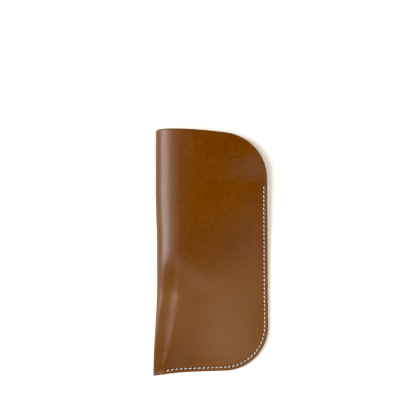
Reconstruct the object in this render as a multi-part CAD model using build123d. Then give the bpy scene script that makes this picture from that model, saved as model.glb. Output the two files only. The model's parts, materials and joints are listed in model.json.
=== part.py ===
"""A soft pouch for glasses: a leather sleeve folded along its left side and sewn along the right and the bottom.

Millimetres. X runs across the sleeve from the fold (-X) to the seam (+X), Y runs along it towards the open mouth (+Y)
and Z is its thickness. It lies on its back, with the origin below the middle of the sleeve, on what it lies on.
"""
from build123d import *
import math
import os

# Driving dimensions: the sleeve laid flat
HALF_WIDTH = 41.0
LENGTH = 175.6
TOP_CORNER_RADIUS = 33.2
BOTTOM_CORNER_RADIUS = 31.0
SEAM_TOP_Y = 48.0
STITCHES_END_X = -31.0
SEAM_LEAN = 1.3  # how much further in the seam edge is at the mouth than at the bottom

# The layers
LEATHER = 1.2
LINING = 0.4
LINING_GAP = 0.3  # between the two faces of the lining where the leaves lie flat together
SEWN = 2 * (LEATHER + LINING) + LINING_GAP
EDGE_COAT = 0.2

# The shape that the sleeve takes as it lies
FOLD_RADIUS = 7.8
FOLD_DRAWS_IN = 0.45  # share of that radius by which the rounding draws the left side in
FOLD_FLATTENS_BELOW = 76.0  # length of the fold, from the bottom end, over which it goes from flat to round
SEAM_BAND = 5.0  # width over which the two leaves lie flat together at the seam
SEAM_RISE = 4.8  # the seam edge lifts off the table by this much at the mouth
SEAM_RISE_START_Y = -40.0
SEAM_RISE_END_Y = 70.0
BACK_LIES_FLAT_TO_X = -2.0
BEND_RUN = 15.0  # the front leaf runs on level from the fold for about this far
LIP_GAP = 3.0  # the two leaves stand this far apart at the corner of the mouth
LIP_GAP_END_Y = 80.0
FLATTENED = 0.05  # the underside is pressed flat by this much where it rests

# The two corners of the mouth bend about a slanted line
BEND_LEFT = (-22.0, 88.0)
BEND_RIGHT = (41.0, 50.0)
BEND_SLIT = 0.6

# Stitching
STITCH_PITCH = 3.0
STITCH_INSET = 2.0
THREAD_RADIUS = 0.25
LOCK_RADIUS = 0.28  # the thread is thicker where it turns down into its hole
HOLE_RADIUS = 0.38
BED_WIDTH = 0.72  # each stitch is pulled down into the leather and lies in a bed of its own
BED_DEPTH = 0.68
FRONT_SUNK = 0.1  # depth of the stitches' centre line
BACK_SUNK = 0.32
STITCH_GAP = 0.05  # between the two threads where they lock, and between one stitch and the next
FIRST_HOLE_Y = 47.0

BOTTOM_Y = -LENGTH / 2
TOP_Y = LENGTH / 2
FLAT_FOLD_RADIUS = SEWN / 2
SEAM_X = HALF_WIDTH
BOTTOM_LINE_RIGHT_Y = BOTTOM_Y + 4.9  # the bottom edge is higher where it meets the corner
BOTTOM_LINE_LEFT = (-22.0, BOTTOM_Y + 3.45)  # and falls away faster from here to the fold
TOP_CORNER_Y = 52.2  # the straight side of the seam ends here and the top corner starts
TALL = 30.0
PAST = 8.0  # how far the cutting tools and the untrimmed layers run past the sleeve
STATIONS = (-94, -82, -70, -58, -44, -28, -8, 14, 34, 50, 64, 78, 94)


def ease(value, start, end):
    """0 before start, 1 after end, and a smooth S between them."""
    t = min(1.0, max(0.0, (value - start) / (end - start)))
    return t * t * (3 - 2 * t)


def fold_radius(y):
    """Outside radius of the fold at y: half the sewn thickness at the bottom, full further up."""
    grown = ease(y, BOTTOM_Y, BOTTOM_Y + FOLD_FLATTENS_BELOW)
    return FLAT_FOLD_RADIUS + (FOLD_RADIUS - FLAT_FOLD_RADIUS) * grown


def fold_left(y):
    """Left side of the fold at y: rounding the leather off takes up some of its width."""
    return -HALF_WIDTH + FOLD_DRAWS_IN * (fold_radius(y) - FLAT_FOLD_RADIUS)


def back_rise(y):
    """Height of the back leaf at the seam edge."""
    return SEAM_RISE * ease(y, SEAM_RISE_START_Y, SEAM_RISE_END_Y)


def lip_gap(y):
    """How far the unsewn leaves stand apart at the seam edge."""
    return LIP_GAP * ease(y, SEAM_TOP_Y, LIP_GAP_END_Y)


def front_rise(y):
    """Height of the front leaf at the seam edge."""
    return back_rise(y) + SEWN + lip_gap(y)


def front_height(x, y):
    """Height of the front leaf's outside at x, between the top of the fold and the seam band."""
    start_x = fold_left(y) + fold_radius(y)
    end_x = SEAM_X - SEAM_BAND
    start_z = 2 * fold_radius(y)
    end_z = front_rise(y)
    if x >= end_x:
        return end_z
    a = start_x - 2 * (start_x + BEND_RUN) + end_x
    b = 2 * BEND_RUN
    c = start_x - x
    t = (-b + math.sqrt(b * b - 4 * a * c)) / (2 * a)
    return (1 - t * t) * start_z + t * t * end_z


def back_height(x, y):
    """Height of the back leaf's outside at x."""
    end_x = SEAM_X - SEAM_BAND
    if x <= BACK_LIES_FLAT_TO_X:
        return 0.0
    if x >= end_x:
        return back_rise(y)
    t = (x - BACK_LIES_FLAT_TO_X) / (end_x - BACK_LIES_FLAT_TO_X)
    return t * t * back_rise(y)


def section(y, inset):
    """The sleeve cut across at y, drawn this far inside the outside of the leather and open past the seam."""
    radius = fold_radius(y)
    left = fold_left(y)
    band_x = SEAM_X - SEAM_BAND
    past_x = SEAM_X + PAST
    middle_x = (BACK_LIES_FLAT_TO_X + band_x) / 2
    floor = inset - FLATTENED
    back = back_rise(y) + floor
    front = front_rise(y) - inset
    top = 2 * radius - inset
    fold_x = left + radius
    outline = [
        Line((past_x, back), (band_x, back)),
        Bezier((band_x, back), (middle_x, floor), (BACK_LIES_FLAT_TO_X, floor)),
        Line((BACK_LIES_FLAT_TO_X, floor), (fold_x, floor)),
        ThreePointArc((fold_x, floor), (left + inset, radius), (fold_x, top)),
        Bezier((fold_x, top), (fold_x + BEND_RUN, top), (band_x, front)),
        Line((band_x, front), (past_x, front)),
        Line((past_x, front), (past_x, back)),
    ]
    across = Plane(origin=(0, y, 0), x_dir=(1, 0, 0), z_dir=(0, -1, 0))
    return across * make_face(Wire(outline))


def layer(inset):
    """Everything inside the surface that lies this far in from the outside of the leather."""
    return loft([section(y, inset) for y in STATIONS])


def cut_outline(grow=0.0):
    """The leather's cut outline from above, running past the fold on the left, grown outwards by a coat."""
    side = SEAM_X + grow
    top = TOP_Y + grow
    bottom = BOTTOM_Y - grow
    left = -HALF_WIDTH - PAST
    corner_radius = BOTTOM_CORNER_RADIUS + grow
    top_start = (left, top - 4.0)
    top_end = (10.3, top - 2.7)
    side_top = (side - SEAM_LEAN, TOP_CORNER_Y)
    side_bottom = (side, BOTTOM_LINE_RIGHT_Y + BOTTOM_CORNER_RADIUS)
    corner_end = (side - corner_radius, BOTTOM_LINE_RIGHT_Y - grow)
    line_end = (BOTTOM_LINE_LEFT[0], BOTTOM_LINE_LEFT[1] - grow)
    bottom_end = (left, bottom - 2.1)
    edges = [
        ThreePointArc(top_start, (-19.0, top), top_end),
        RadiusArc(top_end, side_top, TOP_CORNER_RADIUS + grow),
        Line(side_top, side_bottom),
        RadiusArc(side_bottom, corner_end, corner_radius),
        Line(corner_end, line_end),
        ThreePointArc(line_end, (-33.0, bottom + 1.9), bottom_end),
        Line(bottom_end, top_start),
    ]
    return make_face(Wire(edges))


def pocket_outline():
    """Where the two faces of the lining are free of each other: inside the seam band, and past the mouth."""
    left = -HALF_WIDTH - PAST
    right = SEAM_X + PAST
    top = TOP_Y + PAST
    side = SEAM_X - SEAM_BAND
    radius = BOTTOM_CORNER_RADIUS - SEAM_BAND
    floor = BOTTOM_LINE_RIGHT_Y + SEAM_BAND
    edges = [
        Line((left, top), (right, top)),
        Line((right, top), (right, SEAM_TOP_Y)),
        Line((right, SEAM_TOP_Y), (side, SEAM_TOP_Y)),
        Line((side, SEAM_TOP_Y), (side, floor + radius)),
        RadiusArc((side, floor + radius), (side - radius, floor), radius),
        Line((side - radius, floor), (left, floor - 3.0)),
        Line((left, floor - 3.0), (left, top)),
    ]
    return make_face(Wire(edges))


def upright(face):
    """A tall block with this outline."""
    return Pos(0, 0, -TALL / 2) * extrude(face, TALL * 2)


def beside_bend(offset, side):
    """A block covering one side of the bend line, starting this far from it. Side is 1 for the lips, -1 for the rest."""
    left = Vector(*BEND_LEFT)
    right = Vector(*BEND_RIGHT)
    along = (right - left).normalized()
    out = Vector(-along.Y, along.X) * side
    far = 200.0
    start = left - along * far + out * offset
    end = right + along * far + out * offset
    corners = [start, end, end + out * far, start + out * far]
    return upright(make_face(Polyline(*corners, close=True)))


def stitch_path():
    """The line that the needle follows, from the top of the seam to the end near the fold."""
    side = SEAM_X - STITCH_INSET
    side_top = (side - SEAM_LEAN, TOP_CORNER_Y)
    corner_y = BOTTOM_LINE_RIGHT_Y + BOTTOM_CORNER_RADIUS
    radius = BOTTOM_CORNER_RADIUS - STITCH_INSET
    corner_end = (side - radius, corner_y - radius)
    line_end = (BOTTOM_LINE_LEFT[0], BOTTOM_LINE_LEFT[1] + STITCH_INSET)
    last_hole = (STITCHES_END_X, BOTTOM_Y + 2.3 + STITCH_INSET)
    lead_in = (TOP_CORNER_Y - FIRST_HOLE_Y) / (TOP_CORNER_Y - corner_y)
    start = (side_top[0] + SEAM_LEAN * lead_in, FIRST_HOLE_Y)
    edges = [
        Line(start, (side, corner_y)),
        RadiusArc((side, corner_y), corner_end, radius),
        Line(corner_end, line_end),
        Line(line_end, last_hole),
    ]
    return Wire(edges)


def hole_places():
    """Where the needle went through, evenly spaced."""
    path = stitch_path()
    count = round(path.length / STITCH_PITCH)
    return [path @ (i / count) for i in range(count + 1)]


def rod(start, end, radius):
    """A round length of thread."""
    run = end - start
    return Solid.make_cylinder(radius, run.length, Plane(origin=start, z_dir=run))


def bed(start, end, outward):
    """The groove that one stitch lies in, cut this way out of the leather."""
    run = end - start
    middle = (start + end) * 0.5
    plane = Plane(origin=middle, x_dir=run, z_dir=Vector(0, 0, outward))
    return plane * Box(run.length, BED_WIDTH, 2 * BED_DEPTH)


def thread(tops, ends):
    """One thread: a stitch from each hole to the next, and a turn down into each hole."""
    solids = []
    for top, end in zip(tops, ends):
        past = (top - end).normalized() * LOCK_RADIUS
        solids.append(rod(end, top + past, LOCK_RADIUS))
    for here, there in zip(tops, tops[1:]):
        short = (there - here).normalized() * STITCH_GAP
        solids.append(rod(here + short, there - short, THREAD_RADIUS))
    return solids[0].fuse(*solids[1:])


def write(shape, name):
    """One node, as one STEP file."""
    shape.label = name
    export_step(shape, f"parts/{name}.step")


os.makedirs("parts", exist_ok=True)

# The layers of the sleeve, cut to its outline and pressed flat where it lies
outer = layer(0.0)
middle = layer(LEATHER)
inner = layer(LEATHER + LINING)
above_table = Pos(0, 0, TALL) * Box(400, 400, 2 * TALL)
blank = upright(cut_outline())
coated = upright(cut_outline(EDGE_COAT)) - blank
pocket = upright(pocket_outline())
leather = (outer - middle) & blank & above_table
lining = (middle & blank) - (inner & pocket)
mouth_end = Pos(0, SEAM_TOP_Y + 100, 0) * Box(400, 200, 400)
seam_coat = (outer & coated & above_table) - mouth_end
mouth_coat = (outer - inner) & coated & above_table & mouth_end

# The stitching, and the holes and beds that it makes
holes = hole_places()
front_tops = [Vector(p.X, p.Y, front_height(p.X, p.Y) - FRONT_SUNK) for p in holes]
back_tops = [Vector(p.X, p.Y, back_height(p.X, p.Y) + BACK_SUNK) for p in holes]
middles = [(front + back) * 0.5 for front, back in zip(front_tops, back_tops)]
lock_gap = Vector(0, 0, STITCH_GAP)
needle_thread = thread(front_tops, [p + lock_gap for p in middles])
bobbin_thread = thread(back_tops, [p - lock_gap for p in middles])
pierced = [Pos(p.X, p.Y, p.Z) * Cylinder(HOLE_RADIUS, 2 * SEWN) for p in middles]
front_skin = [Vector(p.X, p.Y, front_height(p.X, p.Y)) for p in holes]
back_skin = [Vector(p.X, p.Y, back_height(p.X, p.Y)) for p in holes]
beds = [bed(a, b, 1) for a, b in zip(front_skin, front_skin[1:])]
beds += [bed(a, b, -1) for a, b in zip(back_skin, back_skin[1:])]
leather = leather.cut(*pierced, *beds)
lining = lining.cut(*pierced)

# The lips of the mouth, parted from the rest along the bend and from each other at the lining
lip_side = beside_bend(BEND_SLIT / 2, 1)
pouch_side = beside_bend(BEND_SLIT / 2, -1)
for material, whole in (("leather", leather), ("lining", lining), ("mouth_edge_coat", mouth_coat)):
    lips = (whole & lip_side).solids()
    back_lip, front_lip = sorted(lips, key=lambda solid: solid.center().Z)
    write(front_lip, f"{material}_front_lip")
    write(back_lip, f"{material}_back_lip")
    write(whole & pouch_side, f"{material}_pouch")
write(seam_coat, "seam_edge_coat")
write(needle_thread, "needle_thread")
write(bobbin_thread, "bobbin_thread")

print("stitches:", len(holes) - 1, "along", round(stitch_path().length, 1), "mm")
for name, height, out in (("front", front_height, 1), ("back", back_height, -1)):
    start, end = Vector(*BEND_LEFT), Vector(*BEND_RIGHT)
    on_line = [start + (end - start) * (i / 20) for i in range(21)]
    heights = [height(p.X, p.Y) * out for p in on_line]
    chord = [heights[0] + (heights[-1] - heights[0]) * i / 20 for i in range(21)]
    clear = max(a - b for a, b in zip(heights, chord))
    low, high = (heights[0] + clear) * out, (heights[-1] + clear) * out
    print(f"{name} bend axis from {(*BEND_LEFT, round(low, 3))} to {(*BEND_RIGHT, round(high, 3))}")
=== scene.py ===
"""A soft leather sleeve for glasses, lying on its back with its open mouth towards +Y.

The sections follow the sleeve as it is made: the table it lies on, the leather blank, the lining
inside it, the stitching round two sides, and the paint on the cut edges.
"""
import json
import math

import bpy
import numpy as np
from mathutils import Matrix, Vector


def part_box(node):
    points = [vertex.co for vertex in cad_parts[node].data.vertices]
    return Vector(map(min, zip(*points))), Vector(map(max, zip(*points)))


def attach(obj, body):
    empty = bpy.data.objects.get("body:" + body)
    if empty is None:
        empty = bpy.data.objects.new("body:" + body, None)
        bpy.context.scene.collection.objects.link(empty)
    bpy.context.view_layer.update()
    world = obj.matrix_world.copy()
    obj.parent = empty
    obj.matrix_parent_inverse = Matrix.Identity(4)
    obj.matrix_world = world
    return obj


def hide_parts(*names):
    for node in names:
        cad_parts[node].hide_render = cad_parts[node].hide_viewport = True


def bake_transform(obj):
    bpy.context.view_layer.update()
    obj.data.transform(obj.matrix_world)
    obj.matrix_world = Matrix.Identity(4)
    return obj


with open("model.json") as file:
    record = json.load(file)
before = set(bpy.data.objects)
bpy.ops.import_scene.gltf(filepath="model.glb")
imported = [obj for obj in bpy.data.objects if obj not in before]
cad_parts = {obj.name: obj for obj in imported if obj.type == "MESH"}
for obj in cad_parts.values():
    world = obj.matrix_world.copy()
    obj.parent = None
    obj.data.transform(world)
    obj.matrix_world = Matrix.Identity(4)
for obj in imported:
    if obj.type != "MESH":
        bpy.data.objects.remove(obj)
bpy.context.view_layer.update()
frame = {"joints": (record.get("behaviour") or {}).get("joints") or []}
MM = 0.001

# --------------------------------------------------------------------------------------------------
# The table, the light and the camera
# A white sheet to lie on. A soft window stands on the left, a wide pale wall at the front right and
# a weaker light in the far right corner. The room is pale at the horizon and dark overhead.
# --------------------------------------------------------------------------------------------------
CAMERA_HEIGHT = 0.600
VIEW_WIDTH = 0.297
CAMERA_PLACE = (-0.0020, 0.0322)
TABLE_RADIUS = 0.85
TABLE_LEVEL = -0.0002
PALE_UP_TO, DARK_FROM = 0.08, 0.42  # sines of the angle above the horizon
OVERHEAD = 0.05  # brightness there, where the horizon is 1
DEEP_TONES = (0.006, 0.024, 0.032)  # taken off red, green and blue, which makes the browns richer


def principled(name, color, roughness):
    """A new material with its shader node, set to a plain finish."""
    material = bpy.data.materials.new(name)
    material.use_nodes = True
    shader = material.node_tree.nodes["Principled BSDF"]
    shader.inputs["Base Color"].default_value = (*color, 1)
    shader.inputs["Roughness"].default_value = roughness
    return material, shader


def soft_light(name, place, aim, size, power, color):
    """A rectangular soft box."""
    data = bpy.data.lights.new(name, "AREA")
    data.shape = "RECTANGLE"
    data.size, data.size_y = size
    data.energy = power
    data.color = color
    lamp = bpy.data.objects.new(name, data)
    bpy.context.collection.objects.link(lamp)
    lamp.location = place
    lamp.rotation_euler = (Vector(aim) - Vector(place)).to_track_quat("-Z", "Y").to_euler()
    return lamp


bpy.ops.mesh.primitive_circle_add(vertices=96, radius=TABLE_RADIUS, fill_type="NGON",
                                  location=(0, 0, TABLE_LEVEL))
table = bpy.context.object
table.name = "table"
table_white, table_shader = principled("table_white", (0.93, 0.92, 0.84), 0.9)
table_shader.inputs["Specular IOR Level"].default_value = 0.1
table.data.materials.append(table_white)

soft_light("window", place=(-0.70, 0.06, 0.78), aim=(0, 0, 0), size=(0.58, 0.95),
           power=20.5, color=(1.0, 0.96, 0.94))
soft_light("pale_wall", place=(0.78, -0.55, 1.00), aim=(0.66, 0, 0), size=(1.5, 0.62),
           power=11.5, color=(1.0, 0.97, 0.95))
soft_light("far_corner", place=(0.70, 0.75, 0.42), aim=(0, 0, 0), size=(0.9, 0.6),
           power=6.5, color=(1.0, 0.97, 0.92))

world = bpy.data.worlds.new("room")
world.use_nodes = True
room = world.node_tree
direction = room.nodes.new("ShaderNodeTexCoord")
height = room.nodes.new("ShaderNodeSeparateXYZ")
walls = room.nodes.new("ShaderNodeMapRange")
walls.inputs["From Min"].default_value = PALE_UP_TO
walls.inputs["From Max"].default_value = DARK_FROM
walls.inputs["To Min"].default_value = 1.0
walls.inputs["To Max"].default_value = OVERHEAD
room.links.new(direction.outputs["Generated"], height.inputs[0])
room.links.new(height.outputs["Z"], walls.inputs["Value"])
room.links.new(walls.outputs["Result"], room.nodes["Background"].inputs["Strength"])
room.nodes["Background"].inputs["Color"].default_value = (1.0, 0.99, 0.97, 1)
bpy.context.scene.world = world
view = bpy.context.scene.view_settings
view.view_transform = "Standard"
view.use_curve_mapping = True
view.curve_mapping.black_level = DEEP_TONES

camera_data = bpy.data.cameras.new("camera")
camera_data.sensor_width = 36
camera_data.lens = 36 * CAMERA_HEIGHT / VIEW_WIDTH
camera = bpy.data.objects.new("camera", camera_data)
bpy.context.collection.objects.link(camera)
camera.location = (*CAMERA_PLACE, CAMERA_HEIGHT)
bpy.context.scene.camera = camera

# --------------------------------------------------------------------------------------------------
# The leather blank
# One piece of smooth 1.2 mm vegetable-tanned cowhide, cut with two round corners at each end, folded
# down the middle and pressed flat along the bottom. It is made as a front and a back that meet under
# the sleeve. From here on, lengths in shapes are in millimetres.
# --------------------------------------------------------------------------------------------------
LEATHER = 1.2
LINING = 0.4
SEWN = 2 * (LEATHER + LINING) + 0.3  # four layers and the slack between them
SEAM_BAND = 5.0  # the leaves lie flat together this far in from the sewn edge
HALF_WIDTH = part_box("leather_pouch")[1].x / MM
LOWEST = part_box("leather_pouch")[0].y / MM
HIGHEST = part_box("leather_pouch")[1].y / MM
SEAM_TOP_Y = 48.0  # the leaves are not sewn together above this
RIDGE_HEIGHT = 15.3
TOP_CORNER = (6.5, HIGHEST - 35.65, 33.2)  # centre and radius
BOTTOM_CORNER = (9.0, LOWEST + 35.95, 31.7)
MOUTH_SLOPE = 0.117
TOP_TURN = math.atan(MOUTH_SLOPE)
BOTTOM_SLOPE = 0.034
BOTTOM_SLOPE_BY_FOLD = 0.118  # added to it, left of BOTTOM_BENDS_AT_X
BOTTOM_BENDS_AT_X = -22.0
WRAP = 14.0  # the front piece of leather runs this far round the fold and under the sleeve


def ease(value, start, end):
    """0 before start, 1 after end, and a smooth S between them."""
    t = np.clip((value - start) / (end - start), 0, 1)
    return t * t * (3 - 2 * t)


def soft_step(value, width):
    """A straight line that starts gently from zero: 0 well below, value well above."""
    return width * np.logaddexp(0, value / width)


def mouth_line(x):
    """The mouth edge at x: level near the fold, sloping away to the corner, dipping at the fold itself."""
    dip = 1.45 * np.exp(-(((x + HALF_WIDTH) / 7.0) ** 2))
    return HIGHEST - MOUTH_SLOPE * soft_step(x + 13.0, 5.0) - dip


def bottom_line(x):
    """The bottom edge at x: it falls away gently, then faster beside the fold."""
    corner_bottom = BOTTOM_CORNER[1] - BOTTOM_CORNER[2]
    gentle = BOTTOM_SLOPE * (BOTTOM_CORNER[0] - x)
    return corner_bottom - gentle - BOTTOM_SLOPE_BY_FOLD * soft_step(BOTTOM_BENDS_AT_X - x, 2.5)


def seam_side(y):
    """The right edge at y: it leans in a little towards the mouth."""
    low = BOTTOM_CORNER[0] + BOTTOM_CORNER[2]
    high = TOP_CORNER[0] + TOP_CORNER[2]
    return low + (high - low) * (y - BOTTOM_CORNER[1]) / (TOP_CORNER[1] - BOTTOM_CORNER[1])


def blank_grid(columns, corner_columns, rows, inset):
    """Places across and along one leaf of the flat blank, as far inside its cut edge as inset says.

    columns run from 0 at the fold to 1 where the corners begin, and corner_columns from there to 1 at
    the seam. rows run from 0 at the bottom to 1 at the mouth. The last axis holds across and along.
    """
    join = TOP_CORNER[0] + (TOP_CORNER[2] - inset) * math.sin(TOP_TURN)
    top_x = -HALF_WIDTH + columns * (join + HALF_WIDTH)
    bottom_x = -HALF_WIDTH + columns * (BOTTOM_CORNER[0] + HALF_WIDTH)
    top_y = mouth_line(top_x) - inset
    join_y = TOP_CORNER[1] + (TOP_CORNER[2] - inset) * math.cos(TOP_TURN)
    top_y += (join_y - top_y[-1]) * ease(columns, 0.5, 1.0)
    bottom_y = bottom_line(bottom_x) + inset
    turn = TOP_TURN + corner_columns * (math.pi / 2 - TOP_TURN)
    top = [(top_x, top_y)]
    top.append((TOP_CORNER[0] + (TOP_CORNER[2] - inset) * np.sin(turn),
                TOP_CORNER[1] + (TOP_CORNER[2] - inset) * np.cos(turn)))
    turn = corner_columns * math.pi / 2
    bottom = [(bottom_x, bottom_y)]
    bottom.append((BOTTOM_CORNER[0] + (BOTTOM_CORNER[2] - inset) * np.sin(turn),
                   BOTTOM_CORNER[1] - (BOTTOM_CORNER[2] - inset) * np.cos(turn)))
    top = np.concatenate([np.stack(part, -1) for part in top])
    bottom = np.concatenate([np.stack(part, -1) for part in bottom])
    return bottom + (top - bottom) * rows[:, None, None]


def fold_left(y):
    """The left side of the sleeve at y: drawn in along its middle."""
    return -38.1 - 2.95 * ease(-y, 20, 88) - 0.95 * ease(y, 5, 45)


def back_rise(y):
    """How far the seam lifts off the table, more towards the mouth."""
    return 4.8 * ease(y, -40, 70)


def lip_gap(y):
    """How far apart the leaves stand at the seam side, above where they are sewn."""
    return 3.0 * ease(y, SEAM_TOP_Y, 80)


def rounded_up(distance, run, power):
    """Climbs from 0 at distance 0 to 1 at run, steepest at the start."""
    return 1 - (1 - np.clip(distance / run, 0, 1)) ** power


def pillow_height(x, y):
    """The height of the front leaf between the fold and the seam: a shallow pillow."""
    sewn = back_rise(y) + SEWN + lip_gap(y)
    band = SEAM_BAND - 2.4 * ease(-x, 14, 28)
    across = rounded_up(soft_step(seam_side(y) - SEAM_BAND - x, 0.9), 58.0, 1.3)
    along = rounded_up(soft_step(y - bottom_line(x) - band, 0.9), 75.0, 2.2)
    return sewn + (RIDGE_HEIGHT - sewn) * across * along


def softer_min(one, other, width):
    """The lower of two heights, rounded where they cross."""
    return -width * np.logaddexp(-one / width, -other / width)


def slumped(x, y):
    """How far the strip beside the fold has sunk below the pillow.

    The strip ends in a soft step. It starts halfway up, about 16 mm from the side of the fold, and
    closes on the fold towards its foot.
    """
    step_x = fold_left(y) + 3.8 + 12.0 * rounded_up(y + 90, 80, 2)
    width = 0.9 + 1.0 * ease(y, -82, -42)
    depth = 2.4 * width * ease(-y, -2, 30) * ease(y, -92, -68)
    return depth / (1 + np.exp((x - step_x) / width))


def as_it_lies(q, y):
    """Where a place on the flat blank comes to lie. q is its distance from the fold: front +, back -.

    Each leaf leaves the fold in a quarter of an ellipse. Then the front follows the pillow, and the
    back lies on the table and rises towards the seam.
    """
    front = q >= 0
    s = np.abs(q)
    top = SEWN + (RIDGE_HEIGHT - SEWN) * rounded_up(y + 82, 75, 2.2)
    # The side of the fold stands out furthest at this height, which is lower towards the foot.
    apex = (0.43 - 0.13 * ease(-y, 0, 40)) * top
    front_wide = 2.4 + 13.6 * ease(y, -58, 18)
    meets = fold_left(y) + front_wide
    front_tall = pillow_height(meets, y) - slumped(meets, y) + 1.0 - apex
    wide = np.where(front, front_wide, 1.1 * apex)
    tall = np.where(front, np.maximum(front_tall, 1.5), apex)
    arc = math.pi / 2 * np.sqrt((wide ** 2 + tall ** 2) / 2)
    turn = np.clip(s / arc, 0, 1) * math.pi / 2
    flat = s - HALF_WIDTH
    drawn = fold_left(y) + wide - (arc - HALF_WIDTH)
    leaf_x = flat + drawn * (1 - ease(flat, arc - HALF_WIDTH, 5.0))
    x = np.where(s < arc, fold_left(y) + wide * (1 - np.cos(turn)), leaf_x)
    round_z = apex + tall * np.sin(turn)
    leaf_z = softer_min(round_z, pillow_height(x, y) - slumped(x, y), 0.8)
    front_z = round_z + (leaf_z - round_z) * ease(s, 0, 4)
    back_z = apex - tall * np.sin(turn) + back_rise(y) * np.clip((x + 2) / 38, 0, 1) ** 2
    # The bottom edge lifts a little beside the fold.
    curl = 0.5 * np.exp(-(((x + 28) / 9) ** 2)) * (1 - ease(y - bottom_line(x), 0, 7))
    return np.stack([x, y, np.where(front, front_z, back_z) + curl], -1)


def outward(q, y):
    """The direction out of the leather's face at each place on the blank."""
    step = 0.05
    across = as_it_lies(q + step, y) - as_it_lies(q - step, y)
    along = as_it_lies(q, y + step) - as_it_lies(q, y - step)
    normal = np.cross(across, along)
    return normal / np.linalg.norm(normal, axis=-1, keepdims=True)


def grid_faces(rows, columns, start=0, flip=False):
    """Quads over a grid of vertices numbered row by row."""
    i, j = np.meshgrid(np.arange(rows - 1), np.arange(columns - 1), indexing="ij")
    a = (start + i * columns + j).ravel()
    quads = np.stack([a, a + 1, a + 1 + columns, a + columns], -1)
    return quads[:, ::-1] if flip else quads


def strip_faces(*loops):
    """Quads between each row of vertex numbers and the next."""
    quads = []
    for here, there in zip(loops, loops[1:]):
        quads.append(np.stack([here[:-1], here[1:], there[1:], there[:-1]], -1))
    return np.concatenate(quads)


def make_piece(name, points, faces, material):
    """A smooth-shaded mesh object from points in millimetres."""
    mesh = bpy.data.meshes.new(name)
    mesh.from_pydata((points * MM).tolist(), [], faces)
    mesh.polygons.foreach_set("use_smooth", [True] * len(mesh.polygons))
    mesh.materials.append(material)
    piece = bpy.data.objects.new(name, mesh)
    bpy.context.collection.objects.link(piece)
    return piece


def paint_on(piece, name, values):
    """A value at each point for the material to read."""
    attribute = piece.data.attributes.new(name, "FLOAT", "POINT")
    attribute.data.foreach_set("value", np.asarray(values, np.float32))


def leaf_columns(side, fold, middle, corner, inset, rows):
    """Signed blank coordinates of one leaf, with the wrap under the fold on the front."""
    near_fold = 20.0 / (BOTTOM_CORNER[0] + HALF_WIDTH)
    start = 0.0 if side > 0 else WRAP / (BOTTOM_CORNER[0] + HALF_WIDTH)
    columns = np.concatenate([np.linspace(start, near_fold, fold, endpoint=False),
                              np.linspace(near_fold, 1, middle, endpoint=False)])
    grid = blank_grid(np.append(columns, 1.0), np.linspace(0, 1, corner)[1:], rows, inset)
    q = (grid[..., 0] + HALF_WIDTH) * side
    y = grid[..., 1]
    if side > 0:
        wrap = np.linspace(WRAP, 0, fold // 2, endpoint=False)
        under = blank_grid(wrap / (BOTTOM_CORNER[0] + HALF_WIDTH), np.zeros(0), rows, inset)
        q = np.concatenate([-(under[..., 0] + HALF_WIDTH), q], 1)
        y = np.concatenate([under[..., 1], y], 1)
    return q, y


def edge_distance(across, y):
    """Distance in from the cut edge, over the flat blank."""
    distance = np.minimum(seam_side(y) - across, y - bottom_line(across))
    distance = np.minimum(distance, mouth_line(across) - y)
    for centre_x, centre_y, radius, end in ((*TOP_CORNER, 1), (*BOTTOM_CORNER, -1)):
        in_corner = (across > centre_x) & ((y - centre_y) * end > 0)
        from_arc = radius - np.hypot(across - centre_x, y - centre_y)
        distance = np.where(in_corner, from_arc, distance)
    return distance


STITCHES = 62
STITCH_INSET = 2.5
FIRST_HOLE_Y = 47.7
LAST_HOLE_X = -29.8
SLANT = 0.28  # each stitch leans: it starts this far inside the line and ends this far outside
FRONT_BED = 0.12  # how deep the thread lies in the front leaf
BACK_BED = 0.36  # and in the back leaf
HOLE_DENT = 0.5  # how much deeper the leather is drawn in at a hole
DENT_REACH = 0.55  # how far beds and dents spread
PIERCED_REACH = 0.8  # how far round a hole the leather is darkened, painted shade for the needle hole


def stitch_holes():
    """Where the needle went through the blank, with the direction out to the edge at each hole."""
    y = np.linspace(FIRST_HOLE_Y, BOTTOM_CORNER[1], 200, endpoint=False)
    side = np.stack([seam_side(y) - STITCH_INSET, y], -1)
    turn = np.linspace(math.pi / 2, 0, 200, endpoint=False)
    radius = BOTTOM_CORNER[2] - STITCH_INSET
    corner = np.stack([BOTTOM_CORNER[0] + radius * np.sin(turn),
                       BOTTOM_CORNER[1] - radius * np.cos(turn)], -1)
    x = np.linspace(BOTTOM_CORNER[0], LAST_HOLE_X, 200)
    bottom = np.stack([x, bottom_line(x) + STITCH_INSET], -1)
    path = np.concatenate([side, corner, bottom])
    length = np.concatenate([[0], np.cumsum(np.linalg.norm(np.diff(path, axis=0), axis=1))])
    even = np.linspace(0, length[-1], STITCHES + 1)
    holes = np.stack([np.interp(even, length, path[:, 0]), np.interp(even, length, path[:, 1])], -1)
    run = np.gradient(holes, axis=0)
    run /= np.linalg.norm(run, axis=1, keepdims=True)
    return holes, np.stack([-run[:, 1], run[:, 0]], -1)


HOLES, EDGEWARD = stitch_holes()
STITCH_STARTS = HOLES[:-1] - SLANT * EDGEWARD[:-1]
STITCH_ENDS = HOLES[1:] + SLANT * EDGEWARD[1:]


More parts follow.
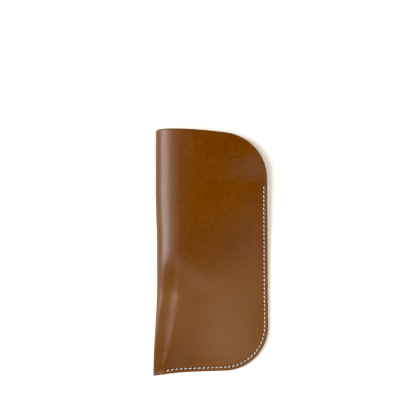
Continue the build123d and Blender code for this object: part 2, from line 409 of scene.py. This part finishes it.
def pressed_in(across, y, bed_depth):
    """How deep the thread and the needle pressed the leather, and how close each place is to a hole."""
    depth = np.zeros(across.shape)
    hole_shade_mask = np.zeros(across.shape)
    near = (edge_distance(across, y) < 4.5) & (y < SEAM_TOP_Y + 3) & (across > LAST_HOLE_X - 3)
    places = np.stack([across[near], y[near]], -1)
    bed = np.full(len(places), np.inf)
    for start, end in zip(STITCH_STARTS, STITCH_ENDS):
        run = end - start
        t = np.clip((places - start) @ run / (run @ run), 0, 1)
        bed = np.minimum(bed, np.linalg.norm(places - start - t[:, None] * run, axis=1))
    hole = np.full(len(places), np.inf)
    for place in HOLES:
        hole = np.minimum(hole, np.linalg.norm(places - place, axis=1))
    depth[near] = bed_depth * np.exp(-((bed / DENT_REACH) ** 2))
    depth[near] += HOLE_DENT * np.exp(-((hole / DENT_REACH) ** 2))
    hole_shade_mask[near] = np.exp(-((hole / PIERCED_REACH) ** 2))
    return depth, hole_shade_mask


def border(grid):
    """The cut edge of a grid: along the bottom, up the seam side and back along the mouth."""
    return np.concatenate([grid[0], grid[1:, -1], grid[-1, -2::-1]])


def out_of_edge(q, y, side):
    """The direction out of the cut edge at each of these places along it."""
    places = as_it_lies(q, y)
    run = np.gradient(places, axis=0)
    out = np.cross(run, outward(q, y)) * side
    return out / np.linalg.norm(out, axis=-1, keepdims=True)


def onto_coarse(fine, coarse):
    """Faces from a line of vertices to one with every second vertex."""
    return np.stack([fine[:-2:2], fine[1:-1:2], fine[2::2], coarse[1:], coarse[:-1]], -1)


def make_sheet(name, side, counts, rows, inset, depths, rim, material, pressed=False):
    """One leaf of a folded sheet: an outer face, a coarser inner face and a worked edge between them.

    side is 1 for the front and -1 for the back. counts are the columns by the fold, in the middle and
    in the corner. The inner face has every second row and column, so the rows are odd in number, and so
    are the columns with the wrap. depths are those of the two faces below the leather's outside. rim
    lists how far out and how deep each line of the worked edge runs.
    """
    q, y = leaf_columns(side, *counts, inset, rows)
    places = as_it_lies(q, y)
    normal = outward(q, y)
    across = np.abs(q) - HALF_WIDTH
    depth, hole_shade_mask = 0 * q, 0 * q
    if pressed:
        depth, hole_shade_mask = pressed_in(across, y, FRONT_BED if side > 0 else BACK_BED)
    numbers = np.arange(q.size).reshape(q.shape)
    edge = border(numbers)
    out = out_of_edge(border(q), border(y), side)
    down = border(normal)
    loops = [edge]
    points = [(places - normal * (depths[0] + depth)[..., None]).reshape(-1, 3)]
    for step_out, step_down in rim:
        loops.append(q.size + (len(loops) - 1) * len(edge) + np.arange(len(edge)))
        points.append(border(places) + out * step_out - down * (depths[0] + step_down))
    inner = (places - normal * depths[1])[::2, ::2]
    inner_start = q.size + len(rim) * len(edge)
    inner_numbers = inner_start + np.arange(inner[..., 0].size).reshape(inner.shape[:2])
    points.append(inner.reshape(-1, 3))
    points = np.concatenate(points)
    inner_edge = border(inner_numbers)
    faces = grid_faces(*q.shape).tolist()
    faces += grid_faces(*inner.shape[:2], inner_start, flip=True).tolist()
    faces += strip_faces(*loops)[:, ::-1].tolist()
    faces += onto_coarse(loops[-1], inner_edge).tolist()
    faces += onto_coarse(numbers[:, 0][::-1], inner_numbers[:, 0][::-1]).tolist()
    faces.append([loop[0] for loop in loops] + [inner_edge[0]])
    faces.append([inner_edge[-1]] + [loop[-1] for loop in loops][::-1])
    piece = make_piece(name, points, faces, material)
    if side < 0:
        piece.data.flip_normals()
    piece.data.set_sharp_from_angle(angle=math.radians(50))
    on_rim = np.zeros(len(rim) * len(edge))
    on_inner = np.zeros(inner[..., 0].size)
    inside = edge_distance(across, y)
    # Painted light and shade for the dye: 0 towards the mouth, rising to 1 over the lower half as a
    # painted brightening, and back to 0 at the foot of the fold as painted shade in the hollow there.
    from_foot = ((across + 27) / 20) ** 2 + ((y + 77) / 16) ** 2
    painted_light = ease(-y, -15, 35) * (1 - np.exp(-from_foot))
    paint_on(piece, "from_edge", np.concatenate([inside.ravel(), on_rim, inside[::2, ::2].ravel()]))
    paint_on(piece, "hole_shade_mask", np.concatenate([hole_shade_mask.ravel(), on_rim, on_inner]))
    paint_on(piece, "painted_light", np.concatenate([painted_light.ravel(), on_rim, on_inner]))
    return piece


def link(tree, source, target):
    """Joins two sockets."""
    tree.links.new(source, target)


def node(tree, kind, **settings):
    """A shader node with these input values or properties."""
    made = tree.nodes.new(kind)
    for key, value in settings.items():
        if key in made.inputs:
            made.inputs[key].default_value = value
        else:
            setattr(made, key, value)
    return made


def mapped(tree, value, low, high, to_low, to_high):
    """A value taken from one range to another, clamped."""
    made = node(tree, "ShaderNodeMapRange")
    for socket, number in zip(("From Min", "From Max", "To Min", "To Max"), (low, high, to_low, to_high)):
        made.inputs[socket].default_value = number
    link(tree, value, made.inputs["Value"])
    return made.outputs["Result"]


def mixed(tree, factor, one, other):
    """A colour between two, each a socket or a plain colour."""
    made = tree.nodes.new("ShaderNodeMix")
    made.data_type = "RGBA"
    link(tree, factor, made.inputs[0])
    for socket, color in ((made.inputs[6], one), (made.inputs[7], other)):
        if isinstance(color, tuple):
            socket.default_value = (*color, 1)
        else:
            link(tree, color, socket)
    return made.outputs[2]


def added(tree, one, other, scale):
    """One value plus another times a scale."""
    made = node(tree, "ShaderNodeMath", operation="MULTIPLY_ADD")
    link(tree, other, made.inputs[0])
    made.inputs[1].default_value = scale
    link(tree, one, made.inputs[2])
    return made.outputs[0]


def tan_leather():
    """Smooth tan leather: cloudy dye, fine pores and deeply burnished edges, with light and shade painted
    into the dye: paler over the lower half, deeper at the foot of the fold and nearly black round each
    needle hole.
    """
    material, shader = principled("tan_leather", (0.10, 0.028, 0.001), 0.42)
    tree = material.node_tree
    place = tree.nodes.new("ShaderNodeTexCoord").outputs["Object"]
    clouds = node(tree, "ShaderNodeTexNoise", Scale=28.0, Detail=3.0)
    mottle = node(tree, "ShaderNodeTexNoise", Scale=420.0, Detail=4.0)
    grain = node(tree, "ShaderNodeTexVoronoi", Scale=1500.0, feature="SMOOTH_F1")
    creases = node(tree, "ShaderNodeTexNoise", Scale=900.0, Detail=6.0, Roughness=0.6)
    for texture in (clouds, mottle, grain, creases):
        link(tree, place, texture.inputs["Vector"])
    tone = added(tree, clouds.outputs["Fac"], mottle.outputs["Fac"], 0.5)
    tone = mapped(tree, tone, 0.5, 1.0, 0.0, 1.0)
    dye = mixed(tree, tone, (0.068, 0.0180, 0.0003), (0.086, 0.0243, 0.0006))
    # Painted light and shade: a paler dye over the lower half and a deeper one at the foot of the fold.
    painted_light = node(tree, "ShaderNodeAttribute", attribute_name="painted_light").outputs["Fac"]
    lit_dye = mixed(tree, tone, (0.084, 0.0270, 0.0010), (0.103, 0.0345, 0.0019))
    dye = mixed(tree, painted_light, dye, lit_dye)
    edge = node(tree, "ShaderNodeAttribute", attribute_name="from_edge")
    burnish = mapped(tree, edge.outputs["Fac"], 0.25, 1.1, 0.75, 0.0)
    dye = mixed(tree, burnish, dye, (0.060, 0.016, 0.002))
    # Painted shade: the leather round each needle hole is darkened almost to black, standing in for the
    # shade inside the hole.
    hole = node(tree, "ShaderNodeAttribute", attribute_name="hole_shade_mask")
    painted_hole_shade = mapped(tree, hole.outputs["Fac"], 0.25, 0.6, 0.0, 0.97)
    dye = mixed(tree, painted_hole_shade, dye, (0.006, 0.003, 0.001))
    link(tree, dye, shader.inputs["Base Color"])
    gloss = mapped(tree, mottle.outputs["Fac"], 0.3, 0.7, 0.38, 0.46)
    link(tree, gloss, shader.inputs["Roughness"])
    relief = added(tree, creases.outputs["Fac"], grain.outputs["Distance"], 0.8)
    bump = node(tree, "ShaderNodeBump", Strength=0.3, Distance=0.0001)
    link(tree, relief, bump.inputs["Height"])
    link(tree, bump.outputs["Normal"], shader.inputs["Normal"])
    shader.inputs["Specular IOR Level"].default_value = 0.5
    return material


BEND_BEFORE, BEND_BEYOND = 2, 17  # how far the bend reaches on each side of a lip's joint


def bend_run(joint_name):
    """Where the leather starts to bend with a lip and where it follows the lip fully."""
    joint = next(j for j in frame["joints"] if j["name"] == joint_name)
    across_bend = Vector((abs(joint["axis"][1]), abs(joint["axis"][0]), 0)).normalized()
    middle = Vector(joint["pos_m"])
    return middle - across_bend * BEND_BEFORE * MM, middle + across_bend * BEND_BEYOND * MM


LEATHER_RIM = [(0.22, 0.06), (0.39, 0.22), (0.45, 0.45), (0.45, 0.90), (0.38, 1.10), (0.20, 1.20)]
LEATHER_INSET = 0.45  # the faces stop here, and the rim goes on to the cut edge
BY_STITCHES = 0.045  # the rows lie closer together over this share of the length, at the bottom
leaf_rows = np.concatenate([np.linspace(0, BY_STITCHES, 24, endpoint=False),
                            np.linspace(BY_STITCHES, 1, 317)])
leather = tan_leather()
leather_front = make_sheet("leather_front", 1, (36, 60, 99), leaf_rows, LEATHER_INSET,
                           (0, LEATHER), LEATHER_RIM, leather, pressed=True)
leather_back = make_sheet("leather_back", -1, (12, 60, 99), leaf_rows, LEATHER_INSET,
                          (0, LEATHER), LEATHER_RIM, leather, pressed=True)
front_bend = bend_run("front_lip_bend")
back_bend = bend_run("back_lip_bend")
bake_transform(leather_front)
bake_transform(leather_back)
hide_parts("leather_pouch", "leather_front_lip")
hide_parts("leather_back_lip")

# --------------------------------------------------------------------------------------------------
# The lining
# Soft brown microfibre suede, 0.4 mm thick, cut and folded with the leather. Here it stops about a
# third of a millimetre inside the cut edge, where the edge paint covers it.
# --------------------------------------------------------------------------------------------------


def suede():
    """Brushed microfibre: a short nap that lies this way and that."""
    material, shader = principled("suede_lining", (0.30, 0.17, 0.09), 0.95)
    tree = material.node_tree
    place = tree.nodes.new("ShaderNodeTexCoord").outputs["Object"]
    brushed = node(tree, "ShaderNodeTexNoise", Scale=160.0, Detail=3.0)
    nap = node(tree, "ShaderNodeTexNoise", Scale=5200.0, Detail=4.0, Roughness=0.7)
    for texture in (brushed, nap):
        link(tree, place, texture.inputs["Vector"])
    tone = added(tree, brushed.outputs["Fac"], nap.outputs["Fac"], 0.8)
    tone = mapped(tree, tone, 0.6, 1.2, 0.0, 1.0)
    link(tree, mixed(tree, tone, (0.20, 0.105, 0.050), (0.36, 0.21, 0.115)), shader.inputs["Base Color"])
    bump = node(tree, "ShaderNodeBump", Strength=0.5, Distance=0.0001)
    link(tree, nap.outputs["Fac"], bump.inputs["Height"])
    link(tree, bump.outputs["Normal"], shader.inputs["Normal"])
    shader.inputs["Sheen Weight"].default_value = 0.35
    shader.inputs["Sheen Roughness"].default_value = 0.5
    return material


LINING_INSET = 0.4
LINING_DEPTHS = (LEATHER + 0.02, LEATHER + LINING)
LINING_RIM = [(0.05, 0.2)]
lining_rows = np.linspace(0, 1, 111)
lining = suede()
lining_front = make_sheet("lining_front", 1, (26, 24, 20), lining_rows, LINING_INSET,
                          LINING_DEPTHS, LINING_RIM, lining)
lining_back = make_sheet("lining_back", -1, (5, 27, 21), lining_rows, LINING_INSET,
                         LINING_DEPTHS, LINING_RIM, lining)
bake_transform(lining_front)
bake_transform(lining_back)
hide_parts("lining_pouch", "lining_front_lip")
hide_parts("lining_back_lip")

# --------------------------------------------------------------------------------------------------
# The stitching
# Waxed off-white thread, three plies twisted together. The needle thread shows on the front and the
# bobbin thread on the back; each stitch dives into a hole at both ends, where the two threads lock
# inside the leather.
# --------------------------------------------------------------------------------------------------
THREAD_RADIUS = 0.21
PLY_TWIST = 2.6  # turns of the plies along one stitch
PLY_SWELL = 0.10  # how far the plies stand out from the mean radius, as a share of it
HOLE_SHARE = 0.2  # of the way from one hole's middle to the next, taken by the hole at each end
FRONT_THREAD_HEIGHT = 0.08  # its centre line over the undented leather, halfway between two holes
BACK_THREAD_HEIGHT = -0.22
DIVE = 0.75  # how much lower it is at the ends of a stitch


def waxed_thread():
    """Off-white waxed thread."""
    material, shader = principled("waxed_thread", (0.62, 0.58, 0.52), 0.6)
    tree = material.node_tree
    place = tree.nodes.new("ShaderNodeTexCoord").outputs["Object"]
    fibres = node(tree, "ShaderNodeTexNoise", Scale=7000.0, Detail=3.0)
    wear = node(tree, "ShaderNodeTexNoise", Scale=120.0, Detail=2.0)
    for texture in (fibres, wear):
        link(tree, place, texture.inputs["Vector"])
    tone = added(tree, fibres.outputs["Fac"], wear.outputs["Fac"], 0.8)
    tone = mapped(tree, tone, 0.6, 1.2, 0.0, 1.0)
    link(tree, mixed(tree, tone, (0.49, 0.465, 0.42), (0.71, 0.685, 0.635)), shader.inputs["Base Color"])
    bump = node(tree, "ShaderNodeBump", Strength=0.4, Distance=0.00004)
    link(tree, fibres.outputs["Fac"], bump.inputs["Height"])
    link(tree, bump.outputs["Normal"], shader.inputs["Normal"])
    return material


def make_stitches(name, side, material):
    """A row of stitches on one face of the sleeve."""
    rings, sides = 15, 18
    t = np.linspace(0, 1, rings)
    round_it = np.linspace(0, 2 * math.pi, sides, endpoint=False)
    points, faces = [], []
    for start, end in zip(STITCH_STARTS, STITCH_ENDS):
        flat = start + (end - start) * (HOLE_SHARE + (1 - 2 * HOLE_SHARE) * t)[:, None]
        q = (flat[:, 0] + HALF_WIDTH) * side
        skin = as_it_lies(q, flat[:, 1])
        normal = outward(q, flat[:, 1])
        height = FRONT_THREAD_HEIGHT if side > 0 else BACK_THREAD_HEIGHT
        height = height - DIVE * np.abs(2 * t - 1) ** 5
        line = skin + normal * height[:, None]
        run = np.gradient(line, axis=0)
        run /= np.linalg.norm(run, axis=1, keepdims=True)
        beside = np.cross(run, normal)
        beside /= np.linalg.norm(beside, axis=1, keepdims=True)
        above = np.cross(beside, run)
        twist = 2 * math.pi * PLY_TWIST * t[:, None]
        plies = 1 + PLY_SWELL * np.cos(3 * round_it[None, :] - twist)
        radius = THREAD_RADIUS * plies[..., None]
        ring = np.cos(round_it)[None, :, None] * beside[:, None] * 1.08
        ring = ring + np.sin(round_it)[None, :, None] * above[:, None] * 0.9
        first = sum(len(part) for part in points)
        points.append((line[:, None] + ring * radius).reshape(-1, 3))
        numbers = first + np.arange(rings * sides).reshape(rings, sides)
        loops = np.concatenate([numbers, numbers[:, :1]], 1)
        faces += strip_faces(*loops).tolist()
        faces += [numbers[0][::-1].tolist(), numbers[-1].tolist()]
    return make_piece(name, np.concatenate(points), faces, material)


thread = waxed_thread()
both_threads = (("needle_stitches", 1, "needle_thread"), ("bobbin_stitches", -1, "bobbin_thread"))
for name, side, cad_node in both_threads:
    stitches = make_stitches(name, side, thread)
    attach(stitches, "pouch")
    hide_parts(cad_node)

# --------------------------------------------------------------------------------------------------
# The painted edges
# Dark brown edge paint, rounded over the cut edges. One bead closes the sewn edge, and a thinner
# bead runs along the mouth edge of each leaf.
# --------------------------------------------------------------------------------------------------
BEAD_HALF_WIDTH = 0.36
BEAD_INSET = 0.22  # its centre line lies this far inside the cut edge
MOUTH_BEAD_PROUD = 0.04  # it stands this far over the faces
SEAM_BEAD_PROUD = 0.03
BEAD_SIDES = 16
BEAD_SQUARENESS = 0.7  # 1 is an ellipse, less is squarer
BEAD_ROWS = np.linspace(0, 1, 200)
SEAM_BEAD_RINGS = 370  # from the fold, round the corner and up to where the sewing ends


def edge_paint():
    """Semi-gloss edge paint with the slight ripple of a hand coat."""
    material, shader = principled("edge_paint", (0.060, 0.020, 0.008), 0.42)
    tree = material.node_tree
    place = tree.nodes.new("ShaderNodeTexCoord").outputs["Object"]
    ripple = node(tree, "ShaderNodeTexNoise", Scale=600.0, Detail=3.0)
    link(tree, place, ripple.inputs["Vector"])
    link(tree, mixed(tree, ripple.outputs["Fac"], (0.070, 0.022, 0.006), (0.110, 0.035, 0.010)),
         shader.inputs["Base Color"])
    link(tree, mapped(tree, ripple.outputs["Fac"], 0.3, 0.7, 0.36, 0.5), shader.inputs["Roughness"])
    bump = node(tree, "ShaderNodeBump", Strength=0.3, Distance=0.0001)
    link(tree, ripple.outputs["Fac"], bump.inputs["Height"])
    link(tree, bump.outputs["Normal"], shader.inputs["Normal"])
    return material


def make_bead(name, centre, out, up, half_height, material):
    """A rounded bead swept along an edge."""
    turn = np.linspace(0, 2 * math.pi, BEAD_SIDES, endpoint=False)
    flat_cos = np.sign(np.cos(turn)) * np.abs(np.cos(turn)) ** BEAD_SQUARENESS
    flat_sin = np.sign(np.sin(turn)) * np.abs(np.sin(turn)) ** BEAD_SQUARENESS
    ring = out[:, None] * (flat_cos * BEAD_HALF_WIDTH)[None, :, None]
    ring = ring + up[:, None] * flat_sin[None, :, None] * half_height[:, None, None]
    points = (centre[:, None] + ring).reshape(-1, 3)
    numbers = np.arange(len(points)).reshape(-1, BEAD_SIDES)
    loops = np.concatenate([numbers, numbers[:, :1]], 1)
    faces = strip_faces(*loops).tolist() + [numbers[0][::-1].tolist(), numbers[-1].tolist()]
    return make_piece(name, points, faces, material)


def mouth_bead(name, side, counts, material):
    """The bead along the mouth edge of one leaf."""
    q, y = (border(part) for part in leaf_columns(side, *counts, BEAD_INSET, BEAD_ROWS))
    edge = np.arange(len(q)) > np.argmax(np.abs(q))
    edge &= y > SEAM_TOP_Y - 0.6
    out = out_of_edge(q, y, side)[edge]
    normal = outward(q, y)[edge]
    centre = as_it_lies(q, y)[edge] - normal * (LEATHER + LINING) / 2
    half_height = np.full(len(centre), (LEATHER + LINING) / 2 + MOUTH_BEAD_PROUD)
    return make_bead(name, centre, out, normal, half_height, material)


def seam_bead(name, material):
    """The bead round the sewn edge, as thick as the four layers."""
    q, y = (border(part) for part in leaf_columns(1, 60, 60, 60, BEAD_INSET, BEAD_ROWS))
    first = np.argmin(np.abs(q[: len(q) // 2]))
    q, y = q[first:first + SEAM_BEAD_RINGS], y[first:first + SEAM_BEAD_RINGS]
    front, back = as_it_lies(q, y), as_it_lies(-q, y)
    centre = (front + back) / 2
    out = np.cross(np.gradient(centre, axis=0), (0, 0, 1))
    out /= np.linalg.norm(out, axis=1, keepdims=True)
    up = np.tile((0.0, 0.0, 1.0), (len(q), 1))
    half_height = (front - back)[:, 2] / 2 + SEAM_BEAD_PROUD
    return make_bead(name, centre, out, up, half_height, material)


paint = edge_paint()
beads = (
    ("front_mouth_bead", mouth_bead("front_mouth_bead", 1, (36, 40, 52), paint), "front_lip", front_bend),
    ("back_mouth_bead", mouth_bead("back_mouth_bead", -1, (6, 44, 52), paint), "back_lip", back_bend),
)
for name, bead, lip, run in beads:
    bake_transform(bead)
    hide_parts(f"mouth_edge_coat_{lip}")
seam_edge = seam_bead("seam_bead", paint)
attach(seam_edge, "pouch")
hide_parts("seam_edge_coat", "mouth_edge_coat_pouch")
